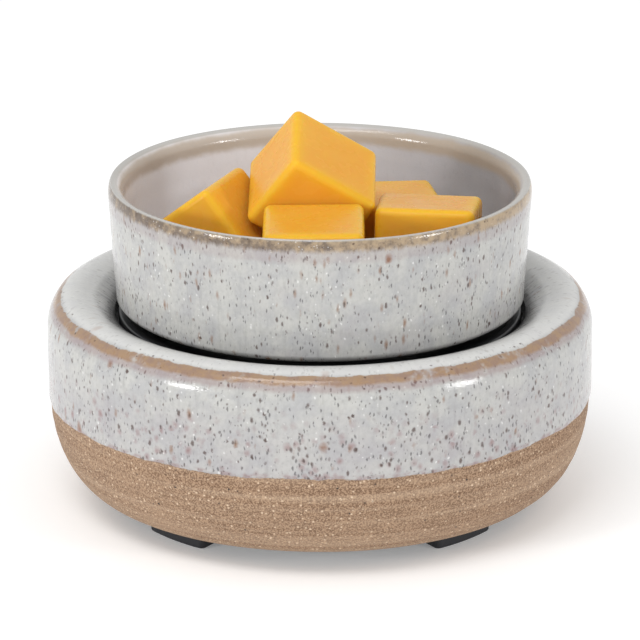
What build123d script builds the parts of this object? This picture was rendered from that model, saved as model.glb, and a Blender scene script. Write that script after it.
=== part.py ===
"""Electric warmer for scented wax melts: a stoneware base with a sunken hot plate, a loose stoneware
dish that stands on it, and the wax melts in the dish. Millimetres, +Z up, front at -Y. The origin is
the centre of the ring of feet, on the table."""

from build123d import *
from math import atan, cos, degrees, pi, radians, sin
import os

os.makedirs("parts", exist_ok=True)

# ------------------------------------------------------------------ stoneware base
base_radius = 70.0
base_wall = 5.5
foot_lift = 4.8              # table to the underside of the bottom cover
ring_recess = 0.2            # the shell's own foot ring hangs this far below the cover
ring_width = 1.3             # flat of that foot ring
belly_height = 25.8          # foot ring to the start of the straight wall
belly_pull_down = 17.2       # how far the wall's tangent reaches down into the belly curve
belly_pull_out = 5.5         # how far the foot ring's tangent reaches out into it
wall_height = 16.25          # straight part of the outer wall
shoulder_width = 7.2
shoulder_rise = 8.6
roll_drop = 5.2              # fall of the rolled inner rim from the crest to the well
roll_crest_pull = 3.8        # how far the crest's tangent reaches in over the roll
roll_edge_pull_out = 1.6     # how far the well edge's tangent reaches back out
roll_edge_pull_up = 1.95     # and up
well_depth = 10.75           # crest to the shelf that carries the hot plate
shelf_width = 6.7
shelf_thick = 4.5
ceiling_round = 6.5
floor_wall = 3.2             # stoneware above the cover's ledge
recess_radius = 55.2         # recess in the underside that takes the bottom cover
ledge_width = 3.7            # ledge that the cover's flange bears on

# ------------------------------------------------------------------ hot plate and seal
plate_radius = 51.7
plate_gap = 0.9              # all round, between plate and well
plate_height = 5.0
plate_rim = 2.0              # width of the raised rim and of the skirt under it
plate_lip = 1.3              # rim above the heated face
plate_thick = 1.6
rim_round_share = 0.3        # rounding of the rim's top edges, in rim widths
seal_thick = 0.8
seal_inset = 0.3
seal_width = 4.5
post_circle_radius = 38.0
post_count = 3
post_first_angle = -90.0
post_radius = 3.2
post_length = 12.4
centre_boss_radius = 3.5
centre_boss_length = 3.4

# ------------------------------------------------------------------ heater stack under the plate
heater_inset = 0.8           # heater edge to the posts
mica_thick = 0.4
foil_thick = 0.2
track_width = 1.7
track_pitch = 3.2
track_count = 6
track_inset = 2.0            # outermost track to the mica's edge
track_gap = 3.0              # where each ring of track turns back
tab_width = 5.0
tab_reach = 6.0              # terminal tabs beyond the outermost track
pad_thick = 3.0
pad_inset = 1.0
press_thick = 0.8
press_inset = 3.0
press_window_radius = 4.0
press_window_count = 6
press_window_circle_radius = 22.0
bore_slip = 0.4              # radial room of the sheets round the centre boss
washer_thick = 0.8
washer_radius = 4.6
clamp_screw_radius = 1.6
clamp_head_radius = 3.5
clamp_head_height = 2.2
thread_slip = 0.05           # radial room between a screw and its hole
screw_slip = 0.35            # radial room between a screw and a plain hole
clamp_screw_gap = 0.3        # screw end to the plate
head_round_share = 0.4       # rounding of screw heads, in head heights

# ------------------------------------------------------------------ thermal fuse
fuse_radius = 2.0
fuse_length = 11.0
fuse_offset = 19.0           # from the axis, towards the front
fuse_lead_radius = 0.45
fuse_lead_length = 5.0
clip_thick = 0.6
clip_width = 6.0
clip_foot = 6.5
clip_screw_radius = 1.2
clip_head_radius = 2.3
clip_head_height = 1.4

# ------------------------------------------------------------------ heat shield, standoffs, cover
shield_thick = 0.6
shield_gap = 2.5             # shield's edge to the shelf's bore
shield_rim = 3.0
shield_hole_radius = 2.6
shield_hole_count = 12
shield_hole_circle_radius = 27.0
standoff_flats = 5.5
stud_radius = 1.45
stud_bite = 4.0
cover_gap = 0.5              # all round, between cover and its recess
cover_thick = 2.6
cover_edge_round = 0.5
spigot_gap = 0.3
spigot_wall = 1.8
spigot_height = 5.2
boss_height = 2.6            # cover's screw bosses above its inner face
boss_wall = 1.6
cover_screw_radius = 1.45
cover_screw_bite = 5.0
cover_head_radius = 2.8
cover_head_height = 2.0
head_recess = 0.5            # screw heads below the cover's underside
head_room = 0.5              # radial room round them
vents_per_group = 5          # one group between each two screw bosses
vent_group_angle = 56.0             # degrees, one group from end to end
vent_inner_radius = 30.0
vent_length = 11.0
vent_width = 2.2
rib_thick = 1.4
rib_height = 2.6
hub_radius = 12.0            # stiffening ring inside the cover
driver_width = 1.1           # cross recess of the larger screws
driver_share = 1.2           # length of that recess, in head radii
driver_depth = 0.9

# ------------------------------------------------------------------ feet
foot_count = 4
foot_first_angle = 45.0
foot_arc_angle = 22.0             # degrees
foot_inset = 2.3             # pad's outer edge to the cover's edge
foot_width = 6.4
foot_pocket = 0.8
foot_slip = 0.15
foot_round = 1.6
foot_edge_share = 0.5        # rounding of the tread's edge, in corner roundings

# ------------------------------------------------------------------ cord entry
entry_height = 24.0          # table to the cord's axis
entry_seat_depth = 3.2       # flat seat of the grommet, below the wall's outer face
entry_seat_radius = 8.6
grommet_flange_radius = 7.8
grommet_flange_thick = 2.0
grommet_neck_radius = 4.9
grommet_neck_gap = 0.3
grommet_neck_length = 4.4
grommet_lock_radius = 5.9
grommet_lock_thick = 1.8
cord_bore_radius = 3.1

# ------------------------------------------------------------------ terminal block and wires
block_length = 20.0
block_depth = 12.0
block_height = 11.0
block_distance = 22.0        # from the axis, towards the back
block_pole_pitch = 9.0
block_seat = 1.0             # raised pads under the block
sleeve_radius = 2.4
sleeve_bore = 1.5
sleeve_height = 5.0          # above the block's foot
terminal_screw_radius = 1.2
terminal_screw_length = 3.2
terminal_screw_reach = 3.6   # screws either side of the middle of the block
block_screw_radius = 1.4
wire_radius = 1.1
block_screw_bite = 2.6
block_head_radius = 2.3
block_head_depth = 2.2
block_head_height = 1.6
sleeve_inset = 0.5           # sleeve ends behind the block's faces
wire_grip = 3.5              # length of wire held in a sleeve
wire_bend_share = 0.45       # bend tangent, in lengths of the shorter run
wire_air = 2.0               # room between wires and sheet metal
wire_tab_gap = 0.3           # wire's side to the mica's edge

# ------------------------------------------------------------------ dish
dish_radius = 54.0
dish_draft = 1.7             # how much narrower the wall is at its foot
dish_wall = 4.1
dish_floor = 4.15
dish_height = 36.25
dish_foot_height = 2.35
dish_foot_inset = 1.0        # foot ring to the corner's curve
dish_foot_width = 4.0
dish_corner_width = 9.6
dish_corner_height = 4.0
dish_inner_round = 8.0
dish_lip_height = 3.4

# ------------------------------------------------------------------ wax melts
wax_gap = 0.3                # outermost melt to the dish's wall
pile_reach_ratio = 1.893     # the outermost corner's distance from the axis, in melt sides
wax_taper_share = 0.053      # how much the small end is narrower, in melt sides
wax_height_share = 0.832
wax_round_share = 0.0725

# ------------------------------------------------------------------ heights and radii that follow
ring_z = foot_lift - ring_recess
belly_z = ring_z + belly_height
shoulder_z = belly_z + wall_height
crest_z = shoulder_z + shoulder_rise
crest_radius = base_radius - shoulder_width
well_edge_z = crest_z - roll_drop
shelf_z = crest_z - well_depth
well_radius = plate_radius + plate_gap
shelf_radius = well_radius - shelf_width
ceiling_z = shelf_z - shelf_thick
cavity_radius = base_radius - base_wall
cover_top_z = foot_lift + cover_thick
floor_z = cover_top_z + floor_wall

plate_foot_z = shelf_z + seal_thick
plate_rim_z = plate_foot_z + plate_height
plate_z = plate_rim_z - plate_lip
plate_under_z = plate_z - plate_thick
post_end_z = plate_under_z - post_length

heater_radius = post_circle_radius - post_radius - heater_inset
stack_bore = centre_boss_radius + bore_slip
foil_z = plate_under_z - mica_thick - foil_thick
lower_mica_z = foil_z - mica_thick
pad_z = lower_mica_z - pad_thick
press_z = pad_z - press_thick
washer_z = press_z - washer_thick

shield_radius = shelf_radius - shield_gap
shield_z = post_end_z - shield_thick
boss_z = cover_top_z + boss_height

cover_radius = recess_radius - cover_gap
opening_radius = recess_radius - ledge_width
spigot_radius = opening_radius - spigot_gap

dish_z = plate_z
dish_under_z = dish_z + dish_foot_height
dish_floor_z = dish_under_z + dish_floor
dish_rim_z = dish_z + dish_height


def save(part, name):
    """Labels a finished piece and writes it as one STEP file."""
    part.label = name
    export_step(part, f"parts/{name}.step")


def bend_radii(points):
    """Bend radii for a wire along these points, each as large as its two runs allow."""
    radii = []
    for before, corner, after in zip(points, points[1:], points[2:]):
        run_in = Vector(*corner) - Vector(*before)
        run_out = Vector(*after) - Vector(*corner)
        half_turn = radians(run_in.get_angle(run_out)) / 2
        radii.append(wire_bend_share * min(run_in.length, run_out.length) * cos(half_turn) / sin(half_turn))
    return radii


# ------------------------------------------------------------------ stoneware shell and cord grommet
entry_axis = Axis((0, 0, entry_height), (0, 1, 0))
entry_plane = Plane(origin=(0, 0, entry_height), x_dir=(1, 0, 0), z_dir=(0, 1, 0))
entry_face = base_radius - entry_seat_depth
entry_hole_radius = grommet_neck_radius + grommet_neck_gap
entry_inner_face = entry_face - grommet_neck_length
ring_radius = recess_radius + ring_width

with BuildPart() as ceramic_base:
    with BuildSketch(Plane.XZ):
        with BuildLine():
            Line((recess_radius, ring_z), (ring_radius, ring_z))
            Bezier(
                (ring_radius, ring_z),
                (ring_radius + belly_pull_out, ring_z),
                (base_radius, belly_z - belly_pull_down),
                (base_radius, belly_z),
            )
            Line((base_radius, belly_z), (base_radius, shoulder_z))
            EllipticalCenterArc((crest_radius, shoulder_z), shoulder_width, shoulder_rise, 0, arc_size=90)
            Bezier(
                (crest_radius, crest_z),
                (crest_radius - roll_crest_pull, crest_z),
                (well_radius + roll_edge_pull_out, well_edge_z + roll_edge_pull_up),
                (well_radius, well_edge_z),
            )
            Polyline(
                (well_radius, well_edge_z),
                (well_radius, shelf_z),
                (shelf_radius, shelf_z),
                (shelf_radius, ceiling_z),
                (cavity_radius - ceiling_round, ceiling_z),
            )
            CenterArc(
                (cavity_radius - ceiling_round, ceiling_z - ceiling_round), ceiling_round, 90, -90
            )
            Line((cavity_radius, ceiling_z - ceiling_round), (cavity_radius, belly_z))
            Bezier(
                (cavity_radius, belly_z),
                (cavity_radius, belly_z - belly_pull_down + floor_wall),
                (ring_radius + belly_pull_out - base_wall / 2, floor_z),
                (ring_radius - base_wall / 2, floor_z),
            )
            Polyline(
                (ring_radius - base_wall / 2, floor_z),
                (opening_radius, floor_z),
                (opening_radius, cover_top_z),
                (recess_radius, cover_top_z),
                (recess_radius, ring_z),
            )
        make_face()
    revolve(axis=Axis.Z)
    # flat seats outside and inside the wall for the cord grommet, and its hole
    with BuildSketch(entry_plane.offset(entry_face)):
        Circle(entry_seat_radius)
    extrude(amount=entry_seat_depth, mode=Mode.SUBTRACT)
    with BuildSketch(entry_plane.offset(entry_inner_face)):
        Circle(grommet_lock_radius + grommet_neck_gap)
    extrude(amount=-grommet_lock_thick - grommet_neck_gap, mode=Mode.SUBTRACT)
    with BuildSketch(entry_plane.offset(entry_inner_face)):
        Circle(entry_hole_radius)
    extrude(amount=grommet_neck_length, mode=Mode.SUBTRACT)
save(ceramic_base.part, "ceramic_base")

with BuildPart() as cord_grommet:
    lock_end = entry_inner_face - grommet_lock_thick
    with BuildSketch(Plane.YZ):
        with BuildLine():
            Polyline(
                (lock_end, entry_height + cord_bore_radius),
                (lock_end, entry_height + grommet_neck_radius),
                (entry_inner_face, entry_height + grommet_lock_radius),
                (entry_inner_face, entry_height + grommet_neck_radius),
                (entry_face, entry_height + grommet_neck_radius),
                (entry_face, entry_height + grommet_flange_radius),
                (entry_face + grommet_flange_thick, entry_height + grommet_flange_radius),
                (entry_face + grommet_flange_thick, entry_height + cord_bore_radius),
                close=True,
            )
        make_face()
    revolve(axis=entry_axis)
    face_edges = cord_grommet.edges().filter_by(GeomType.CIRCLE).group_by(Axis.Y)[-1]
    outer_rim = face_edges.sort_by(SortBy.RADIUS)[-1]
    fillet(outer_rim, grommet_flange_thick / 2)
save(cord_grommet.part, "cord_grommet")

# ------------------------------------------------------------------ hot plate and seal
post_places = PolarLocations(post_circle_radius, post_count, post_first_angle)
post_hole_radius = stud_radius + thread_slip

with BuildPart() as hot_plate:
    skirt_radius = plate_radius - plate_rim
    with BuildSketch(Plane.XZ):
        with BuildLine():
            Polyline(
                (0, plate_under_z),
                (skirt_radius, plate_under_z),
                (skirt_radius, plate_foot_z),
                (plate_radius, plate_foot_z),
                (plate_radius, plate_rim_z),
                (skirt_radius, plate_rim_z),
                (skirt_radius - plate_lip, plate_z),
                (0, plate_z),
                close=True,
            )
        make_face()
    revolve(axis=Axis.Z)
    rim_edges = hot_plate.edges().filter_by(GeomType.CIRCLE).group_by(Axis.Z)[-1]
    fillet(rim_edges, plate_rim * rim_round_share)
    with BuildSketch(Plane.XY.offset(plate_under_z)):
        with post_places:
            Circle(post_radius)
    extrude(amount=-post_length)
    with BuildSketch(Plane.XY.offset(plate_under_z)):
        Circle(centre_boss_radius)
    extrude(amount=-centre_boss_length)
    with BuildSketch(Plane.XY.offset(post_end_z)):
        with post_places:
            Circle(post_hole_radius)
    extrude(amount=stud_bite + shield_thick, mode=Mode.SUBTRACT)
    with BuildSketch(Plane.XY.offset(plate_under_z - centre_boss_length)):
        Circle(clamp_screw_radius + thread_slip)
    extrude(amount=centre_boss_length, mode=Mode.SUBTRACT)
save(hot_plate.part, "hot_plate")

with BuildPart() as plate_seal:
    with BuildSketch(Plane.XY.offset(shelf_z)):
        Circle(plate_radius - seal_inset)
        Circle(plate_radius - seal_inset - seal_width, mode=Mode.SUBTRACT)
    extrude(amount=seal_thick)
save(plate_seal.part, "plate_seal")

# ------------------------------------------------------------------ heater stack
for sheet_name, sheet_z in (("upper_mica_sheet", foil_z + foil_thick), ("lower_mica_sheet", lower_mica_z)):
    with BuildPart() as mica_sheet:
        with BuildSketch(Plane.XY.offset(sheet_z)):
            Circle(heater_radius)
            Circle(stack_bore, mode=Mode.SUBTRACT)
        extrude(amount=mica_thick)
    save(mica_sheet.part, sheet_name)

track_radius = heater_radius - track_inset - track_width / 2
turn_x = (track_gap + track_width) / 2

with BuildPart() as foil_element:
    with BuildSketch(Plane.XY.offset(foil_z)):
        # concentric tracks, split by a gap at the front and at the back
        for ring in range(track_count):
            Circle(track_radius - ring * track_pitch + track_width / 2)
            Circle(track_radius - ring * track_pitch - track_width / 2, mode=Mode.SUBTRACT)
        Rectangle(track_gap, 2 * heater_radius, mode=Mode.SUBTRACT)
        # turns from each track to the next, by front and back in turn
        for ring in range(track_count - 1):
            towards = -1 if ring % 2 == 0 else 1
            turn_y = towards * (track_radius - (ring + 0.5) * track_pitch)
            with Locations((-turn_x, turn_y), (turn_x, turn_y)):
                Rectangle(track_width, track_pitch)
        # the innermost tracks meet at the back
        with Locations((0, track_radius - (track_count - 1) * track_pitch)):
            Rectangle(track_gap + track_width, track_width)
        # terminal tabs at the back
        tab_x = (track_gap + tab_width) / 2
        with Locations((-tab_x, track_radius), (tab_x, track_radius)):
            Rectangle(tab_width, tab_reach, align=(Align.CENTER, Align.MIN))
    extrude(amount=foil_thick)
save(foil_element.part, "foil_element")

with BuildPart() as insulation_pad:
    with BuildSketch(Plane.XY.offset(pad_z)):
        Circle(heater_radius - pad_inset)
        Circle(stack_bore, mode=Mode.SUBTRACT)
    extrude(amount=pad_thick)
save(insulation_pad.part, "insulation_pad")

fuse_z = press_z - fuse_radius
clip_bend_radius = fuse_radius + clip_thick
clip_screw_y = -fuse_offset - clip_bend_radius - clip_foot / 2

with BuildPart() as pressure_plate:
    with BuildSketch(Plane.XY.offset(press_z)):
        Circle(heater_radius - press_inset)
        Circle(clamp_screw_radius + screw_slip, mode=Mode.SUBTRACT)
        with PolarLocations(press_window_circle_radius, press_window_count):
            Circle(press_window_radius, mode=Mode.SUBTRACT)
        with Locations((0, clip_screw_y)):
            Circle(clip_screw_radius + thread_slip, mode=Mode.SUBTRACT)
    extrude(amount=press_thick)
save(pressure_plate.part, "pressure_plate")

with BuildPart() as clamp_washer:
    with BuildSketch(Plane.XY.offset(washer_z)):
        Circle(washer_radius)
        Circle(clamp_screw_radius + screw_slip, mode=Mode.SUBTRACT)
    extrude(amount=washer_thick)
save(clamp_washer.part, "clamp_washer")

with BuildPart() as clamp_screw:
    with BuildSketch(Plane.XY.offset(washer_z)):
        Circle(clamp_head_radius)
    extrude(amount=-clamp_head_height)
    fillet(clamp_screw.edges().group_by(Axis.Z)[0], clamp_head_height * head_round_share)
    with BuildSketch(Plane.XY.offset(washer_z)):
        Circle(clamp_screw_radius)
    extrude(amount=plate_under_z - washer_z - clamp_screw_gap)
    with BuildSketch(Plane.XY.offset(washer_z - clamp_head_height)):
        Rectangle(driver_share * clamp_head_radius, driver_width)
        Rectangle(driver_width, driver_share * clamp_head_radius)
    extrude(amount=driver_depth, mode=Mode.SUBTRACT)
save(clamp_screw.part, "clamp_screw")

# ------------------------------------------------------------------ thermal fuse and its clip
with BuildPart() as thermal_fuse:
    with BuildSketch(Plane.YZ.offset(-fuse_length / 2)):
        with Locations((-fuse_offset, fuse_z)):
            Circle(fuse_radius)
    extrude(amount=fuse_length)
    fillet(thermal_fuse.edges().filter_by(GeomType.CIRCLE), fuse_radius / 2)
    with BuildSketch(Plane.YZ.offset(-fuse_length / 2 - fuse_lead_length)):
        with Locations((-fuse_offset, fuse_z)):
            Circle(fuse_lead_radius)
    extrude(amount=fuse_length + 2 * fuse_lead_length)
save(thermal_fuse.part, "thermal_fuse")

with BuildPart() as fuse_clip:
    with BuildSketch(Plane.YZ.offset(-clip_width / 2)):
        # strap round the fuse, open towards the pressure plate, with one flat foot
        with Locations((-fuse_offset, fuse_z)):
            Circle(clip_bend_radius)
            Rectangle(2 * clip_bend_radius, fuse_radius, align=(Align.CENTER, Align.MIN))
        with Locations((-fuse_offset - clip_bend_radius, press_z)):
            Rectangle(clip_foot, clip_thick, align=(Align.MAX, Align.MAX))
        with Locations((-fuse_offset, fuse_z)):
            Circle(fuse_radius, mode=Mode.SUBTRACT)
            Rectangle(2 * fuse_radius, 2 * fuse_radius, align=(Align.CENTER, Align.MIN), mode=Mode.SUBTRACT)
    extrude(amount=clip_width)
    with BuildSketch(Plane.XY.offset(press_z)):
        with Locations((0, clip_screw_y)):
            Circle(clip_screw_radius + thread_slip)
    extrude(amount=-clip_thick, mode=Mode.SUBTRACT)
save(fuse_clip.part, "fuse_clip")

with BuildPart() as fuse_clip_screw:
    clip_under_z = press_z - clip_thick
    with BuildSketch(Plane.XY.offset(clip_under_z)):
        with Locations((0, clip_screw_y)):
            Circle(clip_head_radius)
    extrude(amount=-clip_head_height)
    fillet(fuse_clip_screw.edges().group_by(Axis.Z)[0], clip_head_height * head_round_share)
    with BuildSketch(Plane.XY.offset(clip_under_z)):
        with Locations((0, clip_screw_y)):
            Circle(clip_screw_radius)
    extrude(amount=clip_thick + press_thick)
save(fuse_clip_screw.part, "fuse_clip_screw")

# ------------------------------------------------------------------ heat shield and standoffs
with BuildPart() as heat_shield:
    with BuildSketch(Plane.XY.offset(shield_z)):
        Circle(shield_radius)
    extrude(amount=shield_rim)
    with BuildSketch(Plane.XY.offset(shield_z + shield_thick)):
        Circle(shield_radius - shield_thick)
    extrude(amount=shield_rim, mode=Mode.SUBTRACT)
    fillet(heat_shield.edges().group_by(Axis.Z)[0], shield_thick)
    with BuildSketch(Plane.XY.offset(shield_z)):
        with post_places:
            Circle(stud_radius + screw_slip)
        with PolarLocations(shield_hole_circle_radius, shield_hole_count, 180 / shield_hole_count):
            Circle(shield_hole_radius)
    extrude(amount=shield_thick, mode=Mode.SUBTRACT)
save(heat_shield.part, "heat_shield")

with BuildPart() as standoffs:
    with BuildSketch(Plane.XY.offset(boss_z)):
        with post_places:
            RegularPolygon(standoff_flats / 2, 6, major_radius=False)
    extrude(amount=shield_z - boss_z)
    with BuildSketch(Plane.XY.offset(shield_z)):
        with post_places:
            Circle(stud_radius)
    extrude(amount=shield_thick + stud_bite)
    with BuildSketch(Plane.XY.offset(boss_z)):
        with post_places:
            Circle(cover_screw_radius + thread_slip)
    extrude(amount=cover_screw_bite + thread_slip, mode=Mode.SUBTRACT)
save(standoffs.part, "standoffs")

# ------------------------------------------------------------------ bottom cover
head_pocket_depth = head_recess + cover_head_height
head_pocket_radius = cover_head_radius + head_room
block_z = cover_top_z + block_seat
foot_outer_radius = cover_radius - foot_inset
foot_inner_radius = foot_outer_radius - foot_width
foot_middle_radius = (foot_outer_radius + foot_inner_radius) / 2
foot_angles = [foot_first_angle + number * 360 / foot_count for number in range(foot_count)]


def foot_outline(angle, slip):
    """Pad outline: a stretch of ring centred on this angle, larger all round by the slip."""
    half_span = foot_arc_angle / 2 + slip * 180 / pi / foot_middle_radius
    side = foot_width / 2 + slip
    inner = foot_middle_radius - side
    outer = foot_middle_radius + side
    first = radians(angle - half_span)
    last = radians(angle + half_span)
    with BuildLine() as outline:
        CenterArc((0, 0), outer, angle - half_span, 2 * half_span)
        CenterArc((0, 0), inner, angle - half_span, 2 * half_span)
        Line((inner * cos(first), inner * sin(first)), (outer * cos(first), outer * sin(first)))
        Line((inner * cos(last), inner * sin(last)), (outer * cos(last), outer * sin(last)))
    make_face(outline.edges())


with BuildPart() as bottom_cover:
    with BuildSketch(Plane.XY.offset(foot_lift)):
        Circle(cover_radius)
    extrude(amount=cover_thick)
    # locating spigot, hub ring and a rib from hub to spigot through each screw boss
    with BuildSketch(Plane.XY.offset(cover_top_z)):
        Circle(spigot_radius)
        Circle(spigot_radius - spigot_wall, mode=Mode.SUBTRACT)
    extrude(amount=spigot_height)
    with BuildSketch(Plane.XY.offset(cover_top_z)):
        Circle(hub_radius)
        Circle(hub_radius - rib_thick, mode=Mode.SUBTRACT)
        rib_length = spigot_radius - spigot_wall / 2 - hub_radius + rib_thick / 2
        with PolarLocations(hub_radius - rib_thick / 2 + rib_length / 2, post_count, post_first_angle):
            Rectangle(rib_length, rib_thick)
    extrude(amount=rib_height)
    with BuildSketch(Plane.XY.offset(cover_top_z)):
        with post_places:
            Circle(head_pocket_radius + boss_wall)
    extrude(amount=boss_height)
    with BuildSketch(Plane.XY.offset(cover_top_z)):
        with Locations((0, block_distance)):
            RectangleRounded(block_length, block_depth, block_seat)
    extrude(amount=block_seat)
    fillet(bottom_cover.edges().group_by(Axis.Z)[0], cover_edge_round)
    # screw holes with recessed heads
    with BuildSketch(Plane.XY.offset(foot_lift)):
        with post_places:
            Circle(head_pocket_radius)
    extrude(amount=head_pocket_depth, mode=Mode.SUBTRACT)
    with BuildSketch(Plane.XY.offset(foot_lift)):
        with post_places:
            Circle(cover_screw_radius + screw_slip)
    extrude(amount=boss_z - foot_lift, mode=Mode.SUBTRACT)
    # hole for the terminal block's screw
    with BuildSketch(Plane.XY.offset(block_z)):
        with Locations((0, block_distance)):
            Circle(block_screw_radius + thread_slip)
    extrude(amount=-block_screw_bite, mode=Mode.SUBTRACT)
    # three groups of radial vents between the bosses
    with BuildSketch(Plane.XY.offset(foot_lift)):
        for group in range(post_count):
            middle = post_first_angle + (group + 0.5) * 360 / post_count
            with PolarLocations(
                vent_inner_radius + vent_length / 2,
                vents_per_group,
                middle - vent_group_angle / 2,
                vent_group_angle,
                endpoint=True,
            ):
                SlotOverall(vent_length, vent_width)
    extrude(amount=cover_thick, mode=Mode.SUBTRACT)
    # pockets for the feet
    with BuildSketch(Plane.XY.offset(foot_lift)):
        for foot_angle in foot_angles:
            foot_outline(foot_angle, foot_slip)
    extrude(amount=foot_pocket, mode=Mode.SUBTRACT)
save(bottom_cover.part, "bottom_cover")

with BuildPart() as cover_screws:
    with BuildSketch(Plane.XY.offset(foot_lift + head_recess)):
        with post_places:
            Circle(cover_head_radius)
    extrude(amount=cover_head_height)
    fillet(cover_screws.edges().group_by(Axis.Z)[0], cover_head_height * head_round_share)
    with BuildSketch(Plane.XY.offset(foot_lift + head_pocket_depth)):
        with post_places:
            Circle(cover_screw_radius)
    extrude(amount=boss_z + cover_screw_bite - foot_lift - head_pocket_depth)
    with BuildSketch(Plane.XY.offset(foot_lift + head_recess)):
        with post_places:
            Rectangle(driver_share * cover_head_radius, driver_width)
            Rectangle(driver_width, driver_share * cover_head_radius)
    extrude(amount=driver_depth, mode=Mode.SUBTRACT)
save(cover_screws.part, "cover_screws")

for foot_name, foot_angle in zip(("back_right", "back_left", "front_left", "front_right"), foot_angles):
    with BuildPart() as foot:
        with BuildSketch(Plane.XY):
            foot_outline(foot_angle, 0)
        extrude(amount=foot_lift + foot_pocket)
        fillet(foot.edges().filter_by(Axis.Z), foot_round)
        fillet(foot.edges().group_by(Axis.Z)[0], foot_round * foot_edge_share)
    save(foot.part, f"foot_{foot_name}")

# ------------------------------------------------------------------ terminal block
block_front_y = block_distance - block_depth / 2
pole_x = block_pole_pitch / 2
sleeve_z = block_z + sleeve_height
sleeve_length = block_depth - 2 * sleeve_inset
screw_places = [
    (x, block_distance + y)
    for x in (-pole_x, pole_x)
    for y in (-terminal_screw_reach, terminal_screw_reach)
]

with BuildPart() as terminal_block:
    with BuildSketch(Plane.XY.offset(block_z)):
        with Locations((0, block_distance)):
            RectangleRounded(block_length, block_depth, block_seat)
    extrude(amount=block_height)
    chamfer(terminal_block.edges().group_by(Axis.Z)[-1], block_seat / 2)
    with BuildSketch(Plane.XZ.offset(-block_front_y)):
        with Locations((-pole_x, sleeve_z), (pole_x, sleeve_z)):
            Circle(sleeve_radius + thread_slip)
    extrude(amount=-block_depth, mode=Mode.SUBTRACT)
    with BuildSketch(Plane.XY.offset(block_z + block_height)):
        with Locations(*screw_places):
            Circle(terminal_screw_radius + screw_slip)
    extrude(amount=sleeve_height - block_height, mode=Mode.SUBTRACT)
    # a slot between the poles, with the screw that holds the block on the cover
    with BuildSketch(Plane.XY.offset(block_z + block_height)):
        with Locations((0, block_distance)):
            Circle(block_head_radius + screw_slip)
    extrude(amount=-block_head_depth, mode=Mode.SUBTRACT)
    with BuildSketch(Plane.XY.offset(block_z + block_height)):
        with Locations((0, block_distance)):
            Circle(block_screw_radius + screw_slip)
    extrude(amount=-block_height, mode=Mode.SUBTRACT)
save(terminal_block.part, "terminal_block")

with BuildPart() as terminal_sleeves:
    with BuildSketch(Plane.XZ.offset(-block_front_y - sleeve_inset)):
        with Locations((-pole_x, sleeve_z), (pole_x, sleeve_z)):
            Circle(sleeve_radius)
            Circle(sleeve_bore, mode=Mode.SUBTRACT)
    extrude(amount=-sleeve_length)
    with BuildSketch(Plane.XY.offset(sleeve_z)):
        with Locations(*screw_places):
            Circle(terminal_screw_radius + thread_slip)
    extrude(amount=sleeve_radius, mode=Mode.SUBTRACT)
save(terminal_sleeves.part, "terminal_sleeves")

with BuildPart() as terminal_screws:
    with BuildSketch(Plane.XY.offset(sleeve_z + wire_radius)):
        with Locations(*screw_places):
            Circle(terminal_screw_radius)
    extrude(amount=terminal_screw_length)
save(terminal_screws.part, "terminal_screws")

with BuildPart() as block_screw:
    head_seat_z = block_z + block_height - block_head_depth
    with BuildSketch(Plane.XY.offset(head_seat_z)):
        with Locations((0, block_distance)):
            Circle(block_head_radius)
    extrude(amount=block_head_height)
    with BuildSketch(Plane.XY.offset(head_seat_z)):
        with Locations((0, block_distance)):
            Circle(block_screw_radius)
    extrude(amount=block_z - head_seat_z - block_screw_bite + thread_slip)
save(block_screw.part, "block_screw")

# ------------------------------------------------------------------ wires inside the base
tab_y = heater_radius + wire_radius + wire_tab_gap
shield_hole_x = shield_hole_circle_radius * sin(pi / shield_hole_count)
shield_hole_y = shield_hole_circle_radius * cos(pi / shield_hole_count)
fuse_hole = shield_hole_circle_radius * cos(pi / 4)
fuse_end_x = fuse_length / 2 + fuse_lead_length
wire_start_y = block_front_y + sleeve_inset + wire_grip
over_shield_z = post_end_z + wire_radius + wire_air

wire_routes = {
    "heater_lead": (
        (pole_x, wire_start_y, sleeve_z),
        (pole_x, block_front_y - 7.0, sleeve_z),
        (pole_x + 0.5, block_front_y - 12.5, sleeve_z + 5.0),
        (pole_x + 1.5, block_front_y - 9.0, shield_z - 8.5),
        (shield_hole_x, shield_hole_y - 6.0, shield_z - 3.6),
        (shield_hole_x, shield_hole_y, post_end_z),
        (tab_x + 1.0, tab_y - 2.5, post_end_z + 4.5),
        (tab_x, tab_y, foil_z - 4.0),
        (tab_x, tab_y, foil_z),
    ),
    "fuse_lead": (
        (-pole_x, wire_start_y, sleeve_z),
        (-pole_x, block_front_y - 9.0, sleeve_z),
        (-pole_x + 3.5, block_front_y - 19.0, sleeve_z + 1.6),
        (fuse_hole - 11.0, 8.0 - fuse_hole, shield_z - 13.0),
        (fuse_hole - 2.0, 1.5 - fuse_hole, shield_z - 6.0),
        (fuse_hole, -fuse_hole, post_end_z),
        (fuse_hole - 1.0, -fuse_offset, fuse_z - 1.5),
        (fuse_end_x + 4.0, -fuse_offset, fuse_z),
        (fuse_end_x, -fuse_offset, fuse_z),
    ),
    "link_lead": (
        (-fuse_end_x, -fuse_offset, fuse_z),
        (-fuse_end_x - 6.5, -fuse_offset, fuse_z),
        (-heater_radius + 8.0, -fuse_offset + 7.0, over_shield_z),
        (-heater_radius + 6.0, 3.0, over_shield_z),
        (-heater_radius + 12.0, tab_y - 17.0, over_shield_z),
        (-tab_x - 8.0, tab_y - 5.0, over_shield_z),
        (-tab_x, tab_y, foil_z - 5.0),
        (-tab_x, tab_y, foil_z),
    ),
}

for wire_name, route in wire_routes.items():
    with BuildPart() as wire:
        with BuildLine() as wire_line:
            FilletPolyline(*route, radius=bend_radii(route))
        wire_start = Plane(origin=wire_line.line @ 0, z_dir=wire_line.line % 0)
        with BuildSketch(wire_start):
            Circle(wire_radius)
        sweep(path=wire_line.line)
    save(wire.part, wire_name)

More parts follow.
